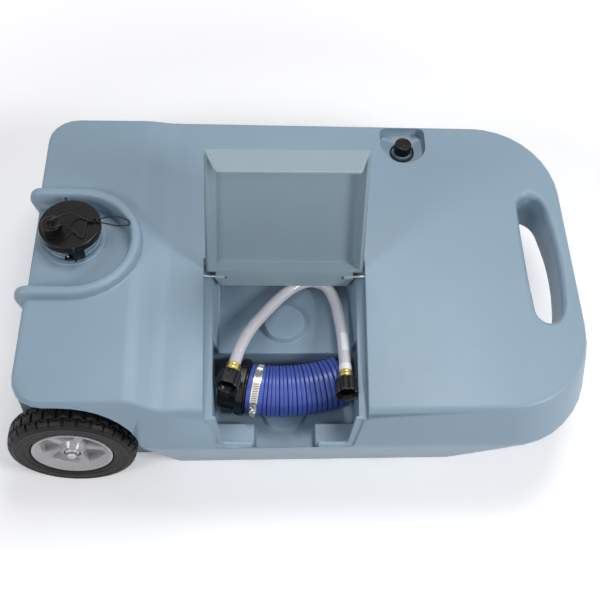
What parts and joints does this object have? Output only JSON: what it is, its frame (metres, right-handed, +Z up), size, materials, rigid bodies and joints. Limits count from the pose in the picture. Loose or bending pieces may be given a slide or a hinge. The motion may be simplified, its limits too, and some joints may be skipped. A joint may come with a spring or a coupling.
{
  "type": "portable waste water tank",
  "caption": "Low two-wheeled waste water tote with a horseshoe spout guard, tow handle slot and a hinged lid over a compartment that stows a ribbed sewer hose and a rinse hose.",
  "frame": {"origin": "middle of the whole part's footprint, on the floor the feet and tyres stand on", "axes": "+Z up; -X is the end with the wheels and the waste spout, +X the end with the tow handle slot; the hose compartment opens towards -Y"},
  "size_m": [0.9246, 0.6306, 0.5041],
  "materials": {
    "tank_plastic": "blue-grey moulded polyethylene",
    "black_plastic": "black moulded plastic",
    "black_rubber": "black rubber",
    "tyre_rubber": "knobbed black tyre",
    "rim_plastic": "silver-grey moulded plastic",
    "natural_nylon": "natural nylon",
    "zinc_steel": "zinc plated steel",
    "ferrule_brass": "crimped brass",
    "sewer_vinyl": "blue ribbed vinyl",
    "rinse_vinyl": "pale grey vinyl hose"
  },
  "bodies": {
    "tank": {"tank_shell": "tank_plastic", "spout_neck": "tank_plastic", "spout_seal": "black_rubber", "spout_lug_near": "zinc_steel", "spout_lug_far": "zinc_steel", "cap_seal": "black_rubber", "vent_cap_loop": "black_rubber", "hinge_pin_left": "zinc_steel", "hinge_pin_right": "zinc_steel", "axle": "zinc_steel", "axle_spacer_near": "natural_nylon", "axle_spacer_far": "natural_nylon", "axle_washer_near": "zinc_steel", "axle_washer_far": "zinc_steel", "axle_cap_near": "zinc_steel", "axle_cap_far": "zinc_steel", "sewer_hose": "sewer_vinyl", "sewer_adapter": "black_plastic", "adapter_seal": "black_rubber", "hose_clamp": "zinc_steel", "rinse_hose": "rinse_vinyl", "ferrule_left": "ferrule_brass", "ferrule_right": "ferrule_brass"},
    "lid": {"lid": "tank_plastic"},
    "wheel_near": {"wheel_rim_near": "rim_plastic", "tyre_near": "tyre_rubber", "wheel_bush_near": "natural_nylon"},
    "wheel_far": {"wheel_rim_far": "rim_plastic", "tyre_far": "tyre_rubber", "wheel_bush_far": "natural_nylon"},
    "spout_cap": {"bayonet_cap": "black_plastic"},
    "outlet_cap": {"hose_cap": "black_plastic", "hose_cap_washer": "black_rubber", "cap_tether": "black_rubber"},
    "vent_cap": {"vent_cap": "black_plastic"},
    "adapter_lugs": {"lug_ring": "black_plastic"},
    "clamp_screw": {"clamp_screw": "zinc_steel"},
    "coupling_left": {"coupling_left": "black_plastic", "rinse_washer_left": "black_rubber"},
    "coupling_right": {"coupling_right": "black_plastic", "rinse_washer_right": "black_rubber"}
  },
  "joints": [
    {"name": "lid_hinge", "type": "hinge", "parent": "tank", "child": "lid", "pos_m": [-0.0247, -0.033, 0.216], "axis": [1, 0, 0], "range_deg": [0, 96.5]},
    {"name": "near_wheel_spin", "type": "hinge", "parent": "tank", "child": "wheel_near", "pos_m": [-0.3607, -0.277, 0.1016], "axis": [0, 1, 0], "continuous": true},
    {"name": "far_wheel_spin", "type": "hinge", "parent": "tank", "child": "wheel_far", "pos_m": [-0.3607, 0.277, 0.1016], "axis": [0, 1, 0], "continuous": true},
    {"name": "spout_cap_turn", "type": "hinge", "parent": "tank", "child": "spout_cap", "pos_m": [-0.3737, 0.031, 0.265], "axis": [0, 0, 1], "range_deg": [0, 30]},
    {"name": "outlet_cap_turn", "type": "hinge", "parent": "spout_cap", "child": "outlet_cap", "pos_m": [-0.3982, 0.0156, 0.2867], "axis": [0, 0, 1], "range_deg": [0, 60]},
    {"name": "vent_cap_turn", "type": "hinge", "parent": "tank", "child": "vent_cap", "pos_m": [0.1893, 0.24, 0.23], "axis": [0, 0, 1], "range_deg": [0, 540]},
    {"name": "adapter_lugs_turn", "type": "hinge", "parent": "tank", "child": "adapter_lugs", "pos_m": [-0.0911, -0.2, 0.1438], "axis": [-0.9799, 0.1994, 0], "continuous": true},
    {"name": "clamp_screw_turn", "type": "hinge", "parent": "tank", "child": "clamp_screw", "pos_m": [-0.07641, -0.24814, 0.14612], "axis": [0.0104, 0.0513, 0.9986], "continuous": true},
    {"name": "left_coupling_turn", "type": "hinge", "parent": "tank", "child": "coupling_left", "pos_m": [-0.11194, -0.22129, 0.20536], "axis": [-0.2469, -0.9657, 0.0807], "continuous": true},
    {"name": "right_coupling_turn", "type": "hinge", "parent": "tank", "child": "coupling_right", "pos_m": [0.06928, -0.23803, 0.21093], "axis": [-0.0005, -0.991, 0.1342], "continuous": true}
  ]
}
